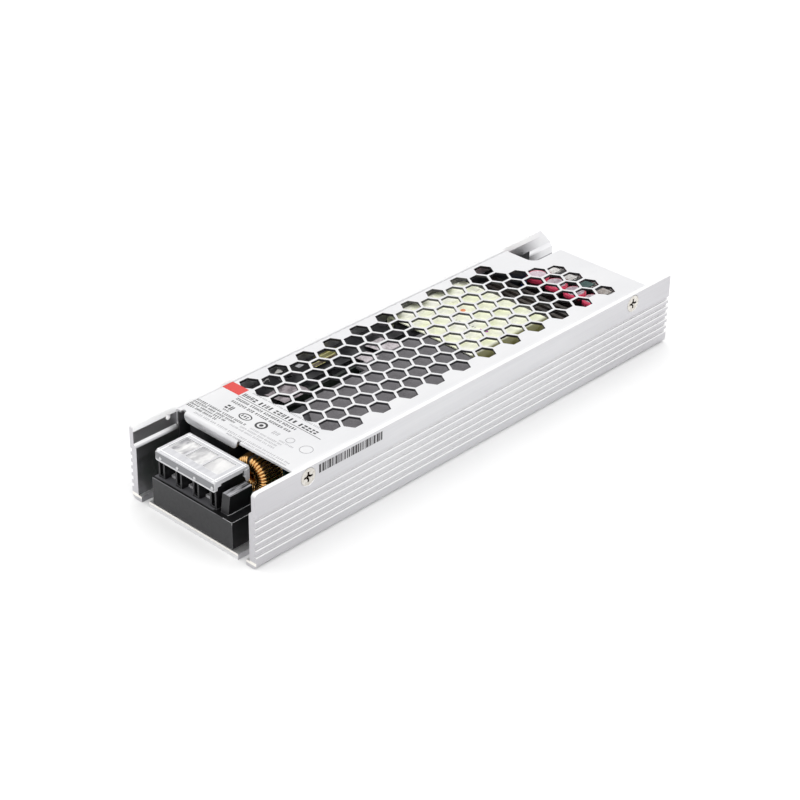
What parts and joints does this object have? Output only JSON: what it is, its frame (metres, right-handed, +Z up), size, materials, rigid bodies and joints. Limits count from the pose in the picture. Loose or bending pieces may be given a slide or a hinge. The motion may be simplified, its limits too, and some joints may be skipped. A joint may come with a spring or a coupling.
{
  "type": "switching power supply",
  "caption": "Slim enclosed switching power supply: finned aluminium channel, perforated folded cover and a screw terminal under a clear hinged cover.",
  "frame": {"origin": "middle of the underside of the case", "axes": "+X across the case to the finned side seen in the picture, +Y along it from the input end to the output end, +Z up"},
  "size_m": [0.055, 0.194, 0.026],
  "materials": {
    "anodised_aluminium": "satin anodised extrusion",
    "cover_sheet": "bright satin folded sheet",
    "nickel_steel": "nickel plated steel",
    "black_film": "black insulating film",
    "circuit_board": "green solder mask on glass laminate",
    "terminal_plastic": "black moulded plastic",
    "clear_plastic": "clear, slightly milky moulded plastic",
    "ferrite": "dark grey ferrite",
    "copper_enamel": "enamelled copper wire",
    "black_plastic": "moulded plastic",
    "grey_case": "grey moulded case",
    "blue_coating": "dipped coating",
    "green_coating": "dipped coating",
    "moulded_package": "moulded semiconductor package",
    "bare_aluminium": "milled aluminium",
    "black_sleeve": "shrunk sleeve over a can",
    "grey_pad": "soft heat-conducting pad",
    "yellow_tape": "polyester tape",
    "red_case": "red moulded case",
    "black_anodised": "black anodised extrusion",
    "can_top": "bare aluminium can with a coloured edge",
    "green_lens": "tinted resin lens",
    "blue_plastic": "blue moulded body",
    "white_plastic": "white moulded rotor"
  },
  "bodies": {
    "chassis": {"base_channel": "anodised_aluminium", "top_cover": "cover_sheet", "cover_screws": "nickel_steel", "board_pillars": "nickel_steel", "board_screws": "nickel_steel", "input_terminal_plates": "nickel_steel", "input_terminal_screws": "nickel_steel", "switch_clamp": "nickel_steel", "output_terminal_plates": "nickel_steel", "output_terminal_screws": "nickel_steel", "insulation_liner": "black_film", "main_board": "circuit_board", "control_board": "circuit_board", "input_terminal_block": "terminal_plastic", "output_terminal_block": "terminal_plastic", "line_choke_core": "ferrite", "boost_inductor_core": "ferrite", "transformer_core": "ferrite", "line_choke_winding": "copper_enamel", "boost_inductor_coil": "copper_enamel", "line_choke_base": "black_plastic", "inlet_fuse": "black_plastic", "filter_capacitor": "grey_case", "surge_varistor": "blue_coating", "line_capacitors": "blue_coating", "inrush_thermistor": "green_coating", "bridge_rectifier": "moulded_package", "primary_switches": "moulded_package", "control_chips": "moulded_package", "rectifier_switches": "moulded_package", "heat_bar": "bare_aluminium", "bulk_capacitors": "black_sleeve", "gap_pad": "grey_pad", "transformer_tape": "yellow_tape", "transformer_coil": "yellow_tape", "film_capacitors": "red_case", "rectifier_heatsink": "black_anodised", "output_capacitors": "can_top", "status_led": "green_lens", "trimmer_body": "blue_plastic"},
    "clear_cover": {"terminal_cover": "clear_plastic"},
    "trimmer": {"trimmer_rotor": "white_plastic"}
  },
  "joints": [
    {"name": "terminal_cover_hinge", "type": "hinge", "parent": "chassis", "child": "clear_cover", "pos_m": [-0.0042, -0.0835, 0.0194], "axis": [-1, 0, 0], "range_deg": [0, 95]},
    {"name": "trimmer_turn", "type": "hinge", "parent": "chassis", "child": "trimmer", "pos_m": [-0.0208, 0.0824, 0.0112], "axis": [0, 0, 1], "range_deg": [-130, 130]}
  ]
}
